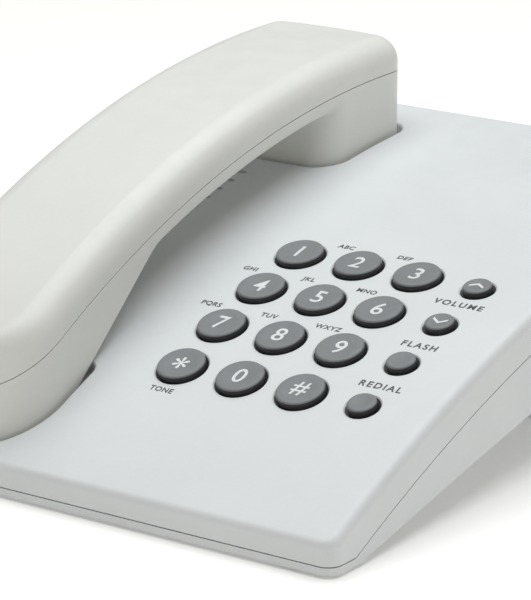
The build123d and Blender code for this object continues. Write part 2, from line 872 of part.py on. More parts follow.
# ---------------------------------------------------------------- parts on the board
def under_board(x, y, size_x, size_y, depth):
    """A block soldered to the board's underside, placed in board coordinates."""
    top = -board_depth - board_thick
    return board_plane * (Pos(x, y, top - depth / 2) * Box(size_x, size_y, depth))


def line_transformer():
    body = under_board(24, 58, 17, 14, 9)
    flange = under_board(24, 58, 12, 18, 5)
    return body + flange


def capacitors():
    """Three electrolytic capacitors, upright on the underside."""
    cans = Part()
    top = -board_depth - board_thick
    for x, radius, height in ((4, 4.0, 9.0), (-6, 3.1, 8.0), (-14, 2.5, 7.0)):
        cans += upright(radius, x, 62, top - height, top)
    return board_plane * cans


def dialling_chip():
    return under_board(-12, 10, 7.6, 17.9, 2.3)


# ================================================================ handset
def handset_plan(inset):
    """Upright column with the handset's plan outline, shrunk by inset."""
    x0, x1 = block_left + inset, block_right - inset
    y0, y1 = handset_front + inset, handset_rear - inset
    middle = (x0 + x1) / 2
    outline = chain(
        (x0, y0),
        ThreePointArc((x0, y0), (middle, y0 - front_bow), (x1, y0)),
        ThreePointArc((x1, y1), (middle, y1 + rear_bow), (x0, y1)))
    outline = fillet(outline.vertices().group_by(Axis.Y)[0], mouth_corner - inset / 2)
    outline = fillet(outline.vertices().group_by(Axis.Y)[-1], handset_corner - inset / 2)
    return Pos(0, 0, -20) * extrude(outline, far_above + 20)


def handset_section_plane(y):
    """Plane across the handset at y, with Z radial; used for screws and weights."""
    angle = math.asin((crown_circle[0] - y) / crown_circle[2])
    normal = (0, -math.sin(angle), math.cos(angle))
    origin = (handset_axis_x, crown_circle[0] - crown_circle[2] * math.sin(angle),
              crown_circle[1] + crown_circle[2] * math.cos(angle))
    return Plane(origin=origin, x_dir=(1, 0, 0), z_dir=normal)


def outer_half(inset, bottom_drop):
    """The handset above its parting line, shrunk by inset and carried on below by bottom_drop."""
    crest = offset_circle(crown_circle, -inset)
    parting = offset_circle(parting_circle, -bottom_drop)
    y0, y1 = handset_front - front_bow - 2, handset_rear + rear_bow + 2
    side = chain(arc_on(crest, y0, y1), arc_on(parting, y1, y0))
    solid = across(side, block_left, block_right) & handset_plan(inset)
    crest_face = max(solid.faces().filter_by(GeomType.CYLINDER), key=lambda f: f.center().Z * f.area)
    return fillet(crest_face.edges(), crest_corner - inset)


def handset_outer_shell():
    """Outer half of the handset: one long arched cap, open underneath."""
    shell = outer_half(0, 0) - outer_half(handset_wall, 5)
    for y in handset_screw_ys:
        plane = handset_section_plane(y)
        shell += plane * upright(boss_radius, 0, 0, -outer_depth, -handset_wall / 2)
        shell -= plane * upright(boss_pilot, 0, 0, -outer_depth - 1, -handset_wall - 0.8)
    return shell


def rounded_vertex(face, point, radius):
    """Round the corner of a side-view face nearest to a point."""
    corner = min(face.vertices(), key=lambda v: (Vector(v.X, v.Y) - Vector(*point)).length)
    return fillet(corner, radius)


def inner_profile(inset, joint_gap):
    """Side view of the handset's inner half: grip, ear block and mouth block."""
    parting = offset_circle(parting_circle, -joint_gap)
    grip = offset_circle(grip_edge_circle, inset)
    ear0, ear1 = ear_block_front + inset, handset_rear + rear_bow + 1
    throat = throat_y - inset * 1.2
    heel = mouth_block_rear - inset * 1.5
    front = handset_front - front_bow - 1
    face = chain(
        arc_on(parting, front, ear1),
        (ear1, ear_seat(ear1) + inset),
        (ear0, ear_seat(ear0) + inset),
        arc_on(grip, ear0, throat),
        (heel, mouth_seat(heel) + inset),
        (front, mouth_seat(front) + inset))
    return rounded_vertex(face, point_on(grip, throat), throat_round)


def handset_inner_shell():
    """Inner half of the handset, with its ear block and mouth block."""
    outside = across(inner_profile(0, parting_gap), block_left, block_right) & handset_plan(0)
    outside = soften_block_edges(round_ear_block(outside, ear_block_front, ear_block_corner))
    hollow = across(inner_profile(handset_wall, -5), block_left, block_right) & handset_plan(handset_wall)
    hollow = round_ear_block(hollow, ear_block_front + handset_wall, ear_block_corner - handset_wall / 2)
    shell = outside - hollow
    for y in handset_screw_ys:
        plane = handset_section_plane(y)
        shell += plane * upright(boss_foot_radius, 0, 0, -grip_depth + 0.5, -outer_depth)
        shell -= plane * upright(screw_radius + 0.2, 0, 0, -grip_depth - 1, 0)
        shell -= plane * upright(screw_head_radius + 0.3, 0, 0, -grip_depth - 8,
                                 -grip_depth + screw_head_height + 0.4)
    shell -= receiver_holes()
    shell -= microphone_slots()
    shell -= handset_port()
    shell += weight_rests()
    return shell


def round_ear_block(solid, front, radius):
    """Round the two upright corners at the front of the ear block."""
    corners = [e for e in solid.edges().filter_by(Axis.Z)
               if abs(e.center().Y - front) < 0.1 and e.length > 5]
    return fillet(corners, radius)


def soften_block_edges(solid):
    """Round the lower outline of the grip and both blocks."""
    chosen = []
    for edge in solid.edges():
        c = edge.center()
        radius = math.hypot(c.Y - crown_circle[0], c.Z - crown_circle[1])
        upright_edge = edge.geom_type == GeomType.LINE and abs(edge.tangent_at(0.5).Z) > 0.99
        if radius < parting_circle[2] - 1.5 and not upright_edge and edge.length > 1:
            if abs(c.X - handset_axis_x) > 5 or c.Y > handset_rear - 3 or c.Y < handset_front + 3:
                chosen.append(edge)
    return fillet(chosen, block_edge)


grip_depth = outer_depth + inner_depth
receiver_y = (ear_block_front + handset_rear) / 2
microphone_x = handset_axis_x + 10.0
microphone_y = handset_front + 12.0
boot_radius = microphone_radius + 1.5


def seat_plane(seat, x, y):
    """Plane on a block's bottom face, with Z pointing into the handset."""
    angle = math.atan(seat(1.0) - seat(0.0))
    return Plane(origin=(x, y, seat(y)), x_dir=(1, 0, 0), z_dir=(0, -math.sin(angle), math.cos(angle)))


ear_plane = seat_plane(ear_seat, handset_axis_x, receiver_y)
mouth_plane = seat_plane(mouth_seat, microphone_x, microphone_y)


def receiver_holes():
    """Round grille: one hole in the middle and rings of six, twelve and eighteen."""
    holes = upright(grille_hole, 0, 0, -2, handset_wall + 2)
    for ring in range(1, grille_rings + 1):
        for step in range(6 * ring):
            angle = 2 * math.pi * step / (6 * ring)
            holes += upright(grille_hole, ring * grille_pitch * math.cos(angle),
                             ring * grille_pitch * math.sin(angle), -2, handset_wall + 2)
    return ear_plane * holes


def microphone_slots():
    slots = Part()
    for index in (-1, 0, 1):
        slots += Pos(index * 2.6, 0, -2) * extrude(SlotOverall(5.0, 1.1, rotation=90), handset_wall + 4)
    return mouth_plane * slots


def receiver_seal():
    """Foam ring under the receiver."""
    ring = upright(receiver_radius, 0, 0, handset_wall + 0.05, handset_wall + 1.2)
    ring -= upright(receiver_radius - 1.8, 0, 0, 0, handset_wall + 2)
    return ear_plane * ring


def receiver():
    """Earpiece capsule: front flange, basket and magnet."""
    base = handset_wall + 1.2
    capsule = upright(receiver_radius, 0, 0, base, base + 1.6)
    capsule += upright(receiver_radius - 1.5, 0, 0, base + 1.6, base + 4.4)
    capsule += upright(receiver_radius * 0.5, 0, 0, base + 4.4, base + receiver_height)
    return ear_plane * capsule


def microphone_boot():
    """Rubber cup that holds the microphone against its slots."""
    cup = upright(boot_radius, 0, 0, handset_wall + 0.05, handset_wall + microphone_height)
    cup -= upright(microphone_radius + 0.02, 0, 0, handset_wall + 1.0, handset_wall + 20)
    cup -= upright(microphone_radius - 1.5, 0, 0, 0, handset_wall + 20)
    return mouth_plane * cup


def microphone():
    base = handset_wall + 1.05
    capsule = upright(microphone_radius, 0, 0, base, base + microphone_height - 0.8)
    return mouth_plane * capsule


handset_jack_x = handset_axis_x - 2.6
handset_jack_face = handset_front - front_bow + handset_wall + 0.6
handset_jack_z = (mouth_seat(handset_jack_face + cord_jack_size[1]) + handset_wall
                  + cord_jack_size[2] / 2 + jack_lift + 0.3)


def handset_jack():
    """Socket in the front end of the handset for its cord."""
    body = Rot(0, 0, 180) * socket(cord_jack_size, cord_port_width, cord_port_height)
    return Pos(handset_jack_x, handset_jack_face, handset_jack_z) * body


def handset_port():
    """Opening in the handset's front end for its socket."""
    opening = port_opening(cord_jack_size, cord_port_width, cord_port_height, handset_wall)
    return Pos(handset_jack_x, handset_front - front_bow, handset_jack_z) * opening


weight_plane = handset_section_plane(5.0)
weight_top = -handset_wall - 1.8


def handset_weight():
    """Steel bar in the grip that gives the handset its heft."""
    return weight_plane * (Pos(0, 0, weight_top - weight_size[2] / 2) * Box(*weight_size))


def weight_rests():
    """Two ribs on the grip's floor that the bar lies on."""
    ribs = Part()
    low, high = -grip_depth + 1, weight_top - weight_size[2]
    for side in (-1, 1):
        ribs += Pos(0, side * weight_size[1] / 3, (low + high) / 2) * Box(weight_size[0], 1.6, high - low)
    return weight_plane * ribs


def handset_screws():
    screws = Part()
    seat = -grip_depth + screw_head_height + 0.4
    for y in handset_screw_ys:
        screw = upright(screw_head_radius, 0, 0, seat - screw_head_height, seat)
        screw += upright(screw_radius, 0, 0, seat, -handset_wall - 1.2)
        screws += handset_section_plane(y) * screw
    return screws


# ================================================================ build
def build():
    """Every node by name."""
    outside = body_outside()
    inside = body_inside()
    nodes = {
        "top_case": top_case(outside, inside),
        "bottom_case": bottom_case(outside, inside),
        "case_screws": case_screws(),
        "main_board": main_board(),
        "board_screws": board_screws(),
        "keypad_sheet": keypad_sheet(),
        "line_transformer": line_transformer(),
        "capacitors": capacitors(),
        "dialling_chip": dialling_chip(),
        "ringer_speaker": ringer_speaker(),
        "ringer_gasket": ringer_gasket(),
        "hookswitch_body": hookswitch_body(),
        "hookswitch_plunger": hookswitch_plunger(),
        "hookswitch_spring": hookswitch_spring(),
        "handset_hook": handset_hook(),
        "line_jack": line_jack(),
        "cord_jack": cord_jack(),
        "ringer_knob": slide_knob(ringer_knob_x),
        "ringer_switch": slide_switch(ringer_knob_x),
        "mode_knob": slide_knob(mode_knob_x),
        "mode_switch": slide_switch(mode_knob_x),
        "ballast_plate": ballast_plate(),
        "handset_outer_shell": handset_outer_shell(),
        "handset_inner_shell": handset_inner_shell(),
        "handset_screws": handset_screws(),
        "handset_weight": handset_weight(),
        "receiver": receiver(),
        "receiver_seal": receiver_seal(),
        "microphone": microphone(),
        "microphone_boot": microphone_boot(),
        "handset_jack": handset_jack(),
    }
    for index, (x, y) in enumerate(foot_places, start=1):
        nodes[f"rubber_foot_{index}"] = rubber_foot(x, y)
    for name, plane, small in key_places():
        nodes[name] = key(plane, small)
    return nodes


os.makedirs("parts", exist_ok=True)
for node_name, shape in build().items():
    export_step(shape, f"parts/{node_name}.step")
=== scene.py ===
"""Looks of a corded push-button desk telephone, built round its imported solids.

Metres, in the frame of the solids: X across, Y to the rear, Z up from the table.
"""

import json
import math

import bmesh
import bpy
from mathutils import Matrix, Vector
from mathutils.bvhtree import BVHTree


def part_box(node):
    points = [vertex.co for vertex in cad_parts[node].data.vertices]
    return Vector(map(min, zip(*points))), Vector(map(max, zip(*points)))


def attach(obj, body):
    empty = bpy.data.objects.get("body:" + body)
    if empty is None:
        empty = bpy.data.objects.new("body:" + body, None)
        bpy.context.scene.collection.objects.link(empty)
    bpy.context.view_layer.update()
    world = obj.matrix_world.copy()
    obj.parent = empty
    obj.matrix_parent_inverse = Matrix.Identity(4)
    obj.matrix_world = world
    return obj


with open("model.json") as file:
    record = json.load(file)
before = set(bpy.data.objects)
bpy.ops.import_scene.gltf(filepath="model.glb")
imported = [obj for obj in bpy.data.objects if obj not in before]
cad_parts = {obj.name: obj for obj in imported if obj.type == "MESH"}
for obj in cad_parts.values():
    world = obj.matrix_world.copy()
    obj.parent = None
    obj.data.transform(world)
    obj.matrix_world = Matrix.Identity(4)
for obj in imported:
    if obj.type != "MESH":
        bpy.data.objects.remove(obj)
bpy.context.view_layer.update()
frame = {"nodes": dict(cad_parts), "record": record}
NODES = frame["nodes"]
RECORD = frame["record"]
JOINTS = {joint["name"]: joint for joint in RECORD["behaviour"]["joints"]}
OPENINGS = {opening["name"]: opening["box_m"] for opening in RECORD["physics"]["openings"]}
KEY_OUTWARD = -Vector(JOINTS["key_5_press"]["axis"])
MM = 0.001
X, Y, Z = Vector((1, 0, 0)), Vector((0, 1, 0)), Vector((0, 0, 1))

# Camera
CAMERA_TARGET = Vector((-15.0, -0.2, 28.7)) * MM
CAMERA_AZIMUTH = math.radians(35.4)         # from straight in front towards the right
CAMERA_ELEVATION = math.radians(16.6)
CAMERA_DISTANCE = 968.2 * MM
CAMERA_LENS = 218.7
CAMERA_SENSOR = 36.0

# Light and floor
OVERHEAD = {"place": (-0.02, 0.12, 1.2), "aim": (0, 0, 0), "size": (1.4, 1.4), "power": 16.6,
            "colour": (0.945, 0.975, 1.0)}
FILL = {"place": (1.3, 0.2, 0.40), "aim": (0, 0, 0.03), "size": (0.9, 0.7), "power": 0.15,
        "colour": (1.0, 0.94, 0.84)}
SURROUND_COLOUR = (1.0, 0.95, 0.85, 1)
SURROUND_STRENGTH = 0.24
FLOOR_REACH = 3.0
FLOOR_COLOUR = (0.95, 0.94, 0.915, 1)
FLOOR_ROUGHNESS = 0.9
FLOOR_GLOW = 0.15

# Patterns of the finishes: scales in cells per metre, so the larger the finer
CLOUD_SCALE, SPECK_SCALE, SHEEN_SCALE, WAVE_SCALE = 26.0, 900.0, 140.0, 55.0
SPECK_SHARE = 0.35              # of fine specks in a moulding's colour clouds
KEY_CLOUD_SCALE, KEY_SHEEN_SCALE, KEY_GRAIN_SCALE = 420.0, 500.0, 3200.0
KEY_CLOUD_REACH = 0.06
KEY_SIDE_SHADE_FACING = (0.15, 0.55)       # how squarely a key's surface faces outward: where its sides are in full painted shade, and where its face has its own colour
DUST_SCALE, BUBBLE_SCALE = 300.0, 1800.0
ROLLING_SCALE, PEEL_SCALE, PAINT_CLOUD_SCALE = 600.0, 700.0, 80.0
TRACK_SCALE, WEAVE_SCALE = 210.0, 2600.0
TRACK_EDGES = (0.03, 0.09)      # where a copper track ends, in distance to the next cell
LAYER_SCALE, VARNISH_SCALE = 1400.0, 200.0
CREASE_SCALE, SLEEVE_CLOUD_SCALE = 420.0, 90.0
INK_COVER_SCALE = 1200.0

# Depths of the finishes' relief
WAVE_DEPTH = 0.02 * MM
KEY_GRAIN_DEPTH = 0.005 * MM
PORE_DEPTH = 0.02 * MM
BUBBLE_DEPTH = 0.12 * MM
ROLLING_DEPTH = 0.006 * MM
PEEL_DEPTH = 0.008 * MM
TRACK_DEPTH = 0.03 * MM
WEAVE_DEPTH = 0.006 * MM
LAYER_DEPTH = 0.04 * MM
CREASE_DEPTH = 0.02 * MM

# Printed legends
DIAL_KEYS = {
    "key_1": ("1", ""), "key_2": ("2", "ABC"), "key_3": ("3", "DEF"),
    "key_4": ("4", "GHI"), "key_5": ("5", "JKL"), "key_6": ("6", "MNO"),
    "key_7": ("7", "PQRS"), "key_8": ("8", "TUV"), "key_9": ("9", "WXYZ"),
    "key_star": ("*", ""), "key_0": ("0", ""), "key_hash": ("#", ""),
}
DIGIT_HEIGHT = 5.4 * MM
DIGIT_BOLD = 0.010              # how far outlines are thickened, per unit of size
STAR_GROWTH = 1.35              # the star is a small character, so it is enlarged
LABEL_STYLE = (2.25 * MM, 0.024, 1.3)       # height, thickening, letter spacing
GROUP_STYLE = (1.75 * MM, 0.022, 1.12)      # the dial letters are a little smaller
GROUP_OFFSET = (-9.0 * MM, 8.2 * MM)        # dial letters stand to the left of their key and behind it
WORD_OFFSET = (0, 8.5 * MM)                 # flash and redial stand behind their key
TONE_OFFSET = (0, -9.4 * MM)                # tone stands in front of the star
VOLUME_ASIDE, VOLUME_PAST_MIDDLE = -0.9 * MM, 1.2 * MM
ARROW_WIDTH, ARROW_HEIGHT, ARROW_STROKE = 4.2 * MM, 1.4 * MM, 0.85 * MM
INK_THICKNESS = 0.04 * MM
INK_CLEARANCE = 0.005 * MM
INK_WELD = 0.0005 * MM
CAPITAL = 0.729                 # height of a capital in the built-in typeface, per unit of size
CURVE_STEPS = 6
CAST_HEIGHT = 6.0 * MM          # legends are dropped onto their surface from this height
RIM_BAND = 0.02 * MM            # a key's points this near its highest one are on its face

# Contacts and ribs
WIRE_COUNT, WIRE_PITCH, WIRE_RADIUS, WIRE_SIDES = 4, 1.02 * MM, 0.2 * MM, 12
WIRE_ROOF_GAP, WIRE_FRONT, WIRE_BACK_GAP = 0.3 * MM, 0.5 * MM, 0.6 * MM
WIRE_DROP = 0.2                 # how far below the middle a wire ends, as a share of its start above it
RIB_COUNT, RIB_PITCH, RIB_SIZE = 4, 1.1 * MM, (0.4 * MM, 0.5 * MM, 1.8 * MM)


def link_to_scene(name, data):
    """An object with that data, in the scene."""
    made = bpy.data.objects.new(name, data)
    bpy.context.scene.collection.objects.link(made)
    return made


def aim(thing, direction):
    """Turns a camera or a light to look along a direction."""
    thing.rotation_euler = direction.to_track_quat("-Z", "Y").to_euler()


# ------------------------------------------------------------------ node trees
def feed(tree, socket, value):
    """A socket is linked; anything else becomes the constant."""
    if isinstance(value, bpy.types.NodeSocket):
        tree.links.new(value, socket)
    else:
        socket.default_value = value


def feed_named(tree, node, inputs):
    for name, value in inputs.items():
        feed(tree, node.inputs[name.replace("_", " ")], value)


def add_node(tree, kind, settings, inputs):
    made = tree.nodes.new(kind)
    for name, value in dict(settings).items():
        setattr(made, name, value)
    feed_named(tree, made, inputs)
    return made


def maths(tree, operation, *values):
    made = add_node(tree, "ShaderNodeMath", {"operation": operation}, {})
    for socket, value in zip(made.inputs, values):
        feed(tree, socket, value)
    return made.outputs[0]


# ------------------------------------------------------------------ finishes
def scaled(colour, factor):
    return tuple(min(1.0, channel * factor) for channel in colour)


class Finish:
    """A Principled material whose patterns read Object coordinates."""

    def __init__(self, name):
        self.material = bpy.data.materials.new(name)
        self.material.use_nodes = True
        self.tree = self.material.node_tree
        self.shader = self.tree.nodes["Principled BSDF"]
        self.place = self.tree.nodes.new("ShaderNodeTexCoord").outputs["Object"]

    def set(self, **inputs):
        feed_named(self.tree, self.shader, inputs)

    def node(self, kind, settings=(), **inputs):
        return add_node(self.tree, kind, settings, inputs)

    def stretched(self, scale):
        """Object coordinates, drawn out along one way."""
        return self.node("ShaderNodeMapping", Vector=self.place, Scale=scale).outputs["Vector"]

    def cloud(self, scale, detail=3.0, place=None):
        """Soft noise, from 0 to 1."""
        noise = self.node("ShaderNodeTexNoise", Vector=place or self.place, Scale=scale,
                          Detail=detail, Roughness=0.55)
        return noise.outputs[0]

    def cells(self, scale, feature="F1"):
        cells = self.node("ShaderNodeTexVoronoi", {"feature": feature}, Vector=self.place,
                          Scale=scale)
        return cells.outputs["Distance"]

    def spread(self, factor, low, high, start=0.3, end=0.7):
        """A pattern from start to end, laid out between two values."""
        made = self.node("ShaderNodeMapRange", Value=factor, From_Min=start, From_Max=end,
                         To_Min=low, To_Max=high)
        return made.outputs["Result"]

    def tones(self, factor, stops):
        """Base colour along a ramp of (position, colour) stops."""
        ramp = self.node("ShaderNodeValToRGB", Fac=factor)
        elements = ramp.color_ramp.elements
        for element, (position, colour) in ((elements[0], stops[0]), (elements[1], stops[-1])):
            element.position = position
            element.color = (*colour, 1)
        for position, colour in stops[1:-1]:
            elements.new(position).color = (*colour, 1)
        self.set(Base_Color=ramp.outputs["Color"])

    def mottle(self, pattern, colour, dark, light, start=0.3, end=0.7):
        """Base colour from a darker to a lighter shade, as the pattern goes from start to end."""
        self.tones(pattern, [(start, scaled(colour, dark)), (end, scaled(colour, light))])

    def sheen(self, pattern, low, high):
        self.set(Roughness=self.spread(pattern, low, high))

    def bump(self, height, depth, **under):
        """Relief of that depth, laid over another one if its Normal is given."""
        made = self.node("ShaderNodeBump", Height=height, Distance=depth, Strength=1.0, **under)
        return made.outputs["Normal"]

    def relief(self, height, depth, **under):
        self.set(Normal=self.bump(height, depth, **under))


def moulded(name, colour, grain=2400.0, depth=0.010 * MM, gloss=(0.40, 0.52), spread=0.03):
    """Moulded plastic: a fine eroded grain, faint clouds in the colour, slight waviness."""
    finish = Finish(name)
    clouds = finish.cloud(CLOUD_SCALE, 4.0)
    specks = finish.cloud(SPECK_SCALE, 2.0)
    mixed = maths(finish.tree, "MULTIPLY_ADD", specks, SPECK_SHARE, clouds)
    finish.mottle(mixed, colour, 1 - spread, 1 + spread, 0.40, 0.95)
    finish.sheen(finish.cloud(SHEEN_SCALE), *gloss)
    waves = finish.bump(finish.cloud(WAVE_SCALE, 1.0), WAVE_DEPTH)
    finish.relief(finish.cloud(grain, 2.0), depth, Normal=waves)
    return finish.material


def keycap(name, face, side_shade_colour):
    """A key: satin face colour on top, and painted shade on its sides, darkened nearly to black where
    they turn away from the outward direction, for the shade in their wells.
    """
    finish = Finish(name)
    finish.set(Specular_IOR_Level=0.4)
    normal = finish.node("ShaderNodeTexCoord").outputs["Normal"]
    facing = finish.node("ShaderNodeVectorMath", {"operation": "DOT_PRODUCT"})
    feed(finish.tree, facing.inputs[0], normal)
    feed(finish.tree, facing.inputs[1], KEY_OUTWARD)
    # Painted shade: the further a key's surface turns away from outward, the nearer it is painted to
    # the dark side colour.
    face_not_side_shade = finish.spread(facing.outputs["Value"], 0.0, 1.0, *KEY_SIDE_SHADE_FACING)
    clouds = finish.spread(finish.cloud(KEY_CLOUD_SCALE), -KEY_CLOUD_REACH, KEY_CLOUD_REACH)
    shade = maths(finish.tree, "MULTIPLY_ADD", clouds, 1.0, face_not_side_shade)
    finish.tones(shade, [(0.0, side_shade_colour), (0.9, face), (1.0, scaled(face, 1.08))])
    finish.sheen(finish.cloud(KEY_SHEEN_SCALE, 2.0), 0.36, 0.50)
    finish.relief(finish.cloud(KEY_GRAIN_SCALE, 2.0), KEY_GRAIN_DEPTH)
    return finish.material


def rubbery(name, colour, pores=1500.0):
    """Dusty rubber or silicone with fine pores."""
    finish = Finish(name)
    dust = finish.cloud(DUST_SCALE, 5.0)
    finish.mottle(dust, colour, 0.85, 1.25, 0.35, 0.75)
    finish.sheen(dust, 0.72, 0.92)
    finish.relief(finish.cells(pores), PORE_DEPTH)
    return finish.material


def foam(name, colour):
    """Open foam: bubbles sunk in relief, with painted shade darkening their hollows."""
    finish = Finish(name)
    bubbles_and_their_shade = finish.cells(BUBBLE_SCALE)
    # Painted shade: the colour is darkened towards the middle of each bubble, where the relief is
    # deepest, and lightened towards the rims.
    finish.mottle(bubbles_and_their_shade, colour, 0.45, 1.3, 0.05, 0.5)
    finish.set(Roughness=0.95)
    finish.relief(bubbles_and_their_shade, BUBBLE_DEPTH)
    return finish.material


def rolled_steel(name, colour, gloss=(0.25, 0.45), blotch=60.0):
    """Sheet or wire metal: fine marks along X and a cloudy plating."""
    finish = Finish(name)
    finish.set(Metallic=1.0)
    marks = finish.cloud(ROLLING_SCALE, 4.0, finish.stretched((0.08, 1.0, 1.0)))
    finish.mottle(finish.cloud(blotch, 4.0), colour, 0.86, 1.08)
    finish.sheen(marks, *gloss)
    finish.relief(marks, ROLLING_DEPTH)
    return finish.material


def painted_metal(name, colour):
    """Enamel with a slight orange peel."""
    finish = Finish(name)
    peel = finish.cloud(PEEL_SCALE)
    finish.mottle(finish.cloud(PAINT_CLOUD_SCALE), colour, 0.88, 1.12)
    finish.sheen(peel, 0.35, 0.5)
    finish.relief(peel, PEEL_DEPTH)
    return finish.material


def laminate(name, colour):
    """Board laminate: solder mask over copper tracks, with a glass weave under it."""
    finish = Finish(name)
    tracks = finish.spread(finish.cells(TRACK_SCALE, "DISTANCE_TO_EDGE"), 1.0, 0.0, *TRACK_EDGES)
    weave = finish.cloud(WEAVE_SCALE, 1.0, finish.stretched((1.0, 0.3, 1.0)))
    finish.mottle(tracks, colour, 1.0, 1.9, 0.1, 0.9)
    finish.sheen(weave, 0.28, 0.40)
    finish.relief(tracks, TRACK_DEPTH, Normal=finish.bump(weave, WEAVE_DEPTH))
    return finish.material


def lacquered(name, colour):
    """Wound or stacked material under varnish: close bands along Z."""
    finish = Finish(name)
    layers = finish.cloud(LAYER_SCALE, 1.0, finish.stretched((0.02, 0.02, 1.0)))
    finish.mottle(layers, colour, 0.6, 1.3)
    finish.sheen(finish.cloud(VARNISH_SCALE), 0.22, 0.42)
    finish.relief(layers, LAYER_DEPTH)
    finish.set(Coat_Weight=0.4)
    return finish.material


def shrunk_sleeve(name, colour):
    """Shrink wrap with creases along Z."""
    finish = Finish(name)
    creases = finish.cloud(CREASE_SCALE, 2.0, finish.stretched((1.0, 1.0, 0.2)))
    finish.mottle(finish.cloud(SLEEVE_CLOUD_SCALE), colour, 0.8, 1.3)
    finish.sheen(creases, 0.18, 0.34)
    finish.relief(creases, CREASE_DEPTH)
    return finish.material


def ink(name, colour):
    """Pad-printed ink: a touch uneven in cover and gloss."""
    finish = Finish(name)
    cover = finish.cloud(INK_COVER_SCALE)
    finish.mottle(cover, colour, 0.88, 1.0, 0.25, 0.6)
    finish.sheen(cover, 0.34, 0.5)
    return finish.material


FINISHES = {
    "case_plastic": moulded("case_plastic_finish", (0.733, 0.757, 0.768)),
    "handset_plastic": moulded("handset_plastic_finish", (0.785, 0.790, 0.758),
                               depth=0.008 * MM, gloss=(0.34, 0.46)),
    # The keys' second colour is painted shade on their sides, not a moulding of its own.
    "key_plastic": keycap("key_plastic_side_shade_finish", (0.195, 0.207, 0.215), (0.022, 0.023, 0.025)),
    "knob_plastic": moulded("knob_plastic_finish", (0.28, 0.29, 0.30), grain=3200.0,
                            depth=0.006 * MM, spread=0.05),
    "socket_plastic": moulded("socket_plastic_finish", (0.045, 0.046, 0.05),
                              depth=0.006 * MM, spread=0.12),
    "foot_rubber": rubbery("foot_rubber_finish", (0.075, 0.075, 0.078)),
    "keypad_silicone": rubbery("keypad_silicone_finish", (0.42, 0.43, 0.45), pores=2600.0),
    "seal_foam": foam("seal_foam_finish", (0.13, 0.13, 0.135)),
    "board_laminate": laminate("board_laminate_finish", (0.035, 0.16, 0.06)),
    "screw_steel": rolled_steel("screw_steel_finish", (0.70, 0.69, 0.66), gloss=(0.2, 0.36)),
    "weight_steel": rolled_steel("weight_steel_finish", (0.42, 0.42, 0.43),
                                 gloss=(0.38, 0.6), blotch=35.0),
    "speaker_metal": painted_metal("speaker_metal_finish", (0.10, 0.10, 0.105)),
    "coil_core": lacquered("coil_core_finish", (0.26, 0.16, 0.07)),
    "capacitor_sleeve": shrunk_sleeve("capacitor_sleeve_finish", (0.03, 0.045, 0.12)),
}


def dress_solids():
    """Every solid gets its slot's finish, in place of the plain colour that it came with."""
    slots = {part["node"]: part["material_slot"] for part in RECORD["subparts"]}
    for name, solid in NODES.items():
        for place in solid.material_slots:
            place.material = FINISHES[slots[name]]


# ------------------------------------------------------------------ camera, light and floor
def place_camera():
    """A long lens from the front right, a little above the telephone."""
    away = Vector((math.sin(CAMERA_AZIMUTH) * math.cos(CAMERA_ELEVATION),
                   -math.cos(CAMERA_AZIMUTH) * math.cos(CAMERA_ELEVATION),
                   math.sin(CAMERA_ELEVATION)))
    camera = link_to_scene("camera", bpy.data.cameras.new("camera"))
    camera.data.lens = CAMERA_LENS
    camera.data.sensor_width = CAMERA_SENSOR
    camera.location = CAMERA_TARGET + away * CAMERA_DISTANCE
    aim(camera, -away)
    bpy.context.scene.camera = camera


def area_light(name, settings):
    light = link_to_scene(name, bpy.data.lights.new(name, "AREA"))
    light.data.shape = "RECTANGLE"
    light.data.size, light.data.size_y = settings["size"]
    light.data.energy = settings["power"]
    light.data.color = settings["colour"]
    light.location = settings["place"]
    aim(light, Vector(settings["aim"]) - Vector(settings["place"]))


def light_studio():
    """A cool softbox overhead, a weak warm fill from the right and a warm even surround."""
    area_light("overhead", OVERHEAD)
    area_light("fill", FILL)
    world = bpy.data.worlds.new("surround")
    world.use_nodes = True
    background = world.node_tree.nodes["Background"]
    feed_named(world.node_tree, background, {"Color": SURROUND_COLOUR, "Strength": SURROUND_STRENGTH})
    bpy.context.scene.world = world
    bpy.context.scene.view_settings.view_transform = "Standard"


def lay_floor():
    corners = [(-FLOOR_REACH, -FLOOR_REACH, 0), (FLOOR_REACH, -FLOOR_REACH, 0),
               (FLOOR_REACH, FLOOR_REACH, 0), (-FLOOR_REACH, FLOOR_REACH, 0)]
    mesh = bpy.data.meshes.new("floor")
    mesh.from_pydata(corners, [], [(0, 1, 2, 3)])
    floor = link_to_scene("floor", mesh)
    finish = Finish("pale_floor")
    finish.set(Base_Color=FLOOR_COLOUR, Roughness=FLOOR_ROUGHNESS, Emission_Color=(1, 1, 1, 1),
               Emission_Strength=FLOOR_GLOW)
    mesh.materials.append(finish.material)


# ------------------------------------------------------------------ printed legends
class KeyFace:
    """Where a key is and which way it faces, read from its joint and its solid."""

    def __init__(self, name):
        self.inward = Vector(JOINTS[name + "_press"]["axis"])
        self.out = -self.inward
        self.behind = self.out.cross(X)
        corners = [v.co for v in NODES[name].data.vertices]
        top = max(co.dot(self.out) for co in corners)
        rim = [co for co in corners if co.dot(self.out) > top - RIM_BAND]
        self.middle = sum(rim, Vector()) / len(rim)

    def at(self, x, y, z):
        return self.middle + X * x + self.behind * y + self.out * z


def evaluated_mesh(thing):
    """The plain mesh that an object's curves or modifiers give."""
    bpy.context.view_layer.update()
    depsgraph = bpy.context.evaluated_depsgraph_get()
    return bpy.data.meshes.new_from_object(thing.evaluated_get(depsgraph))


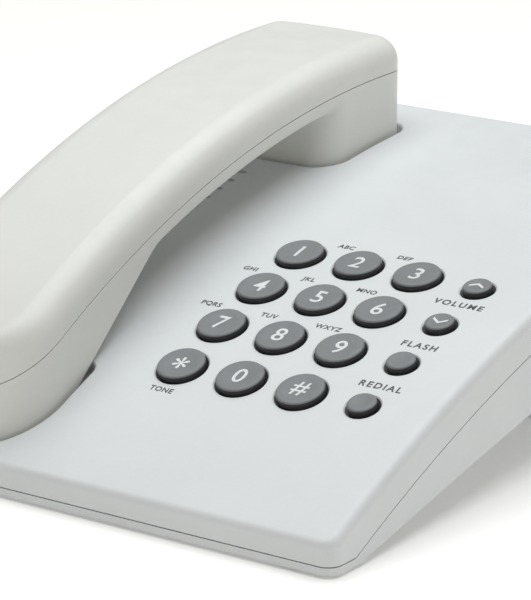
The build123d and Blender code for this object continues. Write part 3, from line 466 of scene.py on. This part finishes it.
def letters(words, height, bold, spacing=1.0):
    """Words as a thin closed mesh, centred on the origin, capitals of that height."""
    data = bpy.data.curves.new("letters", "FONT")
    data.body = words
    data.align_x = "CENTER"
    data.size = 1.0
    data.offset = bold
    data.space_character = spacing
    data.extrude = 0.01             # only tells the two sides apart; the thickness is set below
    data.resolution_u = CURVE_STEPS
    text = link_to_scene("letters", data)
    mesh = evaluated_mesh(text)
    bpy.data.objects.remove(text)
    ratio = height / CAPITAL
    xs = [v.co.x for v in mesh.vertices]
    ys = [v.co.y for v in mesh.vertices]
    centre_x = (min(xs) + max(xs)) / 2
    centre_y = (min(ys) + max(ys)) / 2
    points = [((v.co.x - centre_x) * ratio, (v.co.y - centre_y) * ratio,
               INK_THICKNESS if v.co.z > 0 else 0.0) for v in mesh.vertices]
    faces = [tuple(p.vertices) for p in mesh.polygons]
    bpy.data.meshes.remove(mesh)
    return points, faces


def chevron(up):
    """An arrow head of two strokes, as a thin closed mesh."""
    half = ARROW_WIDTH / 2
    shift = (ARROW_HEIGHT - ARROW_STROKE) / 2
    outline = [(-half, 0), (0, ARROW_HEIGHT), (half, 0),
               (half, -ARROW_STROKE), (0, ARROW_HEIGHT - ARROW_STROKE), (-half, -ARROW_STROKE)]
    outline = [(x, (y - shift) * (1 if up else -1)) for x, y in outline]
    count = len(outline)
    points = [(x, y, z) for z in (0.0, INK_THICKNESS) for x, y in outline]
    faces = [tuple(range(count - 1, -1, -1)), tuple(range(count, 2 * count))]
    for i in range(count):
        j = (i + 1) % count
        faces.append((i, j, count + j, count + i))
    return points, faces


def surface_of(node):
    """A solid's surface, for casting legends onto."""
    mesh = NODES[node].data
    corners = [v.co.copy() for v in mesh.vertices]
    return BVHTree.FromPolygons(corners, [tuple(p.vertices) for p in mesh.polygons])


def print_on(name, shape, face, offset, surface, finish, body):
    """Lays a thin shape on a solid's surface, along the face's own normal."""
    points, faces = shape
    placed = []
    for x, y, lift in points:
        origin = face.at(x + offset[0], y + offset[1], CAST_HEIGHT)
        hit = surface.ray_cast(origin, face.inward)[0]
        if hit is None:
            raise SystemExit(name + " misses its surface")
        placed.append(hit + face.out * (lift + INK_CLEARANCE))
    mesh = bpy.data.meshes.new(name)
    mesh.from_pydata(placed, [], faces)
    welded = bmesh.new()
    welded.from_mesh(mesh)
    bmesh.ops.remove_doubles(welded, verts=welded.verts, dist=INK_WELD)
    bmesh.ops.recalc_face_normals(welded, faces=welded.faces)
    welded.to_mesh(mesh)
    welded.free()
    mesh.materials.append(finish)
    piece = link_to_scene(name, mesh)
    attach(piece, body)


def print_legends():
    """Digits and arrows in white on the keys, words and dial letters in grey on the case."""
    white = ink("legend_white", (0.80, 0.81, 0.82))
    grey = ink("legend_grey", (0.065, 0.065, 0.07))
    case = surface_of("top_case")
    others = ["key_volume_up", "key_volume_down", "key_flash", "key_redial"]
    key_faces = {key: KeyFace(key) for key in [*DIAL_KEYS, *others]}

    def on_key(key, shape):
        print_on("legend_" + key, shape, key_faces[key], (0, 0), surface_of(key),
                 white, key + "_body")

    def on_case(name, words, style, key, offset):
        print_on(name, letters(words, *style), key_faces[key], offset, case,
                 grey, "base")

    for key, (digit, group) in DIAL_KEYS.items():
        height = DIGIT_HEIGHT * (STAR_GROWTH if digit == "*" else 1.0)
        on_key(key, letters(digit, height, DIGIT_BOLD))
        if group:
            on_case("letters_" + key, group, GROUP_STYLE, key, GROUP_OFFSET)
    on_key("key_volume_up", chevron(True))
    on_key("key_volume_down", chevron(False))
    louder, softer = key_faces["key_volume_up"], key_faces["key_volume_down"]
    halfway = (softer.middle - louder.middle).dot(louder.behind) / 2
    on_case("label_volume", "VOLUME", LABEL_STYLE, "key_volume_up",
            (VOLUME_ASIDE, halfway + VOLUME_PAST_MIDDLE))
    on_case("label_tone", "TONE", GROUP_STYLE, "key_star", TONE_OFFSET)
    on_case("label_flash", "FLASH", LABEL_STYLE, "key_flash", WORD_OFFSET)
    on_case("label_redial", "REDIAL", LABEL_STYLE, "key_redial", WORD_OFFSET)


# ------------------------------------------------------------------ what repeats: contacts and ribs
class NodeTool:
    """A Geometry Nodes tree with named inputs, run once and turned into plain points and faces."""

    def __init__(self, name, inputs):
        self.tree = bpy.data.node_groups.new(name, "GeometryNodeTree")
        self.values = {}
        for label, kind, value in inputs:
            socket = self.tree.interface.new_socket(name=label, in_out="INPUT", socket_type=kind)
            self.values[label] = (socket.identifier, value)
        self.tree.interface.new_socket(name="Geometry", in_out="OUTPUT",
                                       socket_type="NodeSocketGeometry")
        self.entry = self.tree.nodes.new("NodeGroupInput").outputs
        self.exit = self.tree.nodes.new("NodeGroupOutput")

    def node(self, kind, **inputs):
        """Inputs given as text are the tree's own, by name."""
        inputs = {name: self.entry[value] if isinstance(value, str) else value
                  for name, value in inputs.items()}
        return add_node(self.tree, kind, (), inputs)

    def lay_in_row(self, shape, finish):
        """Ends the tree: copies of a shape along X, centred on the origin, as real geometry."""
        half = maths(self.tree, "MULTIPLY", self.entry["Pitch"], 0.5)
        reach = maths(self.tree, "MULTIPLY_ADD", self.entry["Count"], half, half)
        first = maths(self.tree, "SUBTRACT", self.entry["Pitch"], reach)
        start = self.node("ShaderNodeCombineXYZ", X=first).outputs["Vector"]
        step = self.node("ShaderNodeCombineXYZ", X="Pitch").outputs["Vector"]
        points = self.node("GeometryNodeMeshLine", Count="Count", Start_Location=start, Offset=step)
        copies = self.node("GeometryNodeInstanceOnPoints", Points=points.outputs["Mesh"],
                           Instance=shape)
        real = self.node("GeometryNodeRealizeInstances", Geometry=copies.outputs["Instances"])
        dressed = self.node("GeometryNodeSetMaterial", Geometry=real.outputs["Geometry"],
                            Material=finish)
        feed_named(self.tree, self.exit, {"Geometry": dressed.outputs["Geometry"]})

    def run(self, name, place, **values):
        """A plain mesh piece, its points moved by the matrix place."""
        holder = link_to_scene(name + "_maker", bpy.data.meshes.new(name + "_maker"))
        modifier = holder.modifiers.new("maker", "NODES")
        modifier.node_group = self.tree
        for label, (identifier, value) in self.values.items():
            modifier[identifier] = values.get(label, value)
        mesh = evaluated_mesh(holder)
        holder.modifiers.remove(modifier)
        bpy.data.objects.remove(holder)
        mesh.name = name
        mesh.transform(place)
        if place.determinant() < 0:
            mesh.flip_normals()
        return link_to_scene(name, mesh)


def contact_maker(finish):
    """Spring wires side by side, each leaning from the roof of a socket towards its back."""
    tool = NodeTool("contact_row", [
        ("Count", "NodeSocketInt", WIRE_COUNT), ("Pitch", "NodeSocketFloat", WIRE_PITCH),
        ("Radius", "NodeSocketFloat", WIRE_RADIUS),
        ("Front", "NodeSocketVector", (0, 0, 0)), ("Back", "NodeSocketVector", (0, 0, 0))])
    line = tool.node("GeometryNodeCurvePrimitiveLine", Start="Front", End="Back")
    ring = tool.node("GeometryNodeCurvePrimitiveCircle", Resolution=WIRE_SIDES, Radius="Radius")
    wire = tool.node("GeometryNodeCurveToMesh", Curve=line.outputs["Curve"],
                     Profile_Curve=ring.outputs["Curve"], Fill_Caps=True)
    tool.lay_in_row(wire.outputs["Mesh"], finish)
    return tool


def rib_maker(finish):
    """Finger ribs side by side."""
    tool = NodeTool("rib_row", [
        ("Count", "NodeSocketInt", RIB_COUNT), ("Pitch", "NodeSocketFloat", RIB_PITCH),
        ("Size", "NodeSocketVector", RIB_SIZE)])
    rib = tool.node("GeometryNodeMeshCube", Size="Size")
    tool.lay_in_row(rib.outputs["Mesh"], finish)
    return tool


def to_place(middle, across, inward, up):
    """Matrix that takes local X, Y and Z to three directions at a point."""
    turned = Matrix((across, inward, up)).transposed().to_4x4()
    return Matrix.Translation(middle) @ turned


def fit_contacts():
    """Gilt wires in the three cord sockets, placed from the sockets' stated openings."""
    gilt = rolled_steel("contact_gilt", (0.85, 0.62, 0.24), gloss=(0.18, 0.3), blotch=900.0)
    maker = contact_maker(gilt)
    sockets = (("line_port", "base", X, -Y), ("cord_port", "base", Y, X),
               ("handset_port", "handset", X, Y))
    for opening, body, across, inward in sockets:
        low, high = (Vector(corner) for corner in OPENINGS[opening])
        depth = abs((high - low).dot(inward)) / 2
        roof = (high.z - low.z) / 2 - WIRE_ROOF_GAP
        piece = maker.run(opening + "_contacts", to_place((low + high) / 2, across, inward, Z),
                          Front=(0.0, WIRE_FRONT, roof),
                          Back=(0.0, depth - WIRE_BACK_GAP, -WIRE_DROP * roof))
        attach(piece, body)


def rib_knobs():
    """Finger ribs on the outer face of both slide knobs."""
    maker = rib_maker(FINISHES["knob_plastic"])
    for knob, body in (("ringer_knob", "ringer_slider"), ("mode_knob", "mode_slider")):
        low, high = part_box(knob)
        outer = Vector(((low.x + high.x) / 2, high.y, (low.z + high.z) / 2))
        piece = maker.run(knob + "_ribs", Matrix.Translation(outer))
        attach(piece, body)


place_camera()
light_studio()
lay_floor()
dress_solids()
print_legends()
fit_contacts()
rib_knobs()
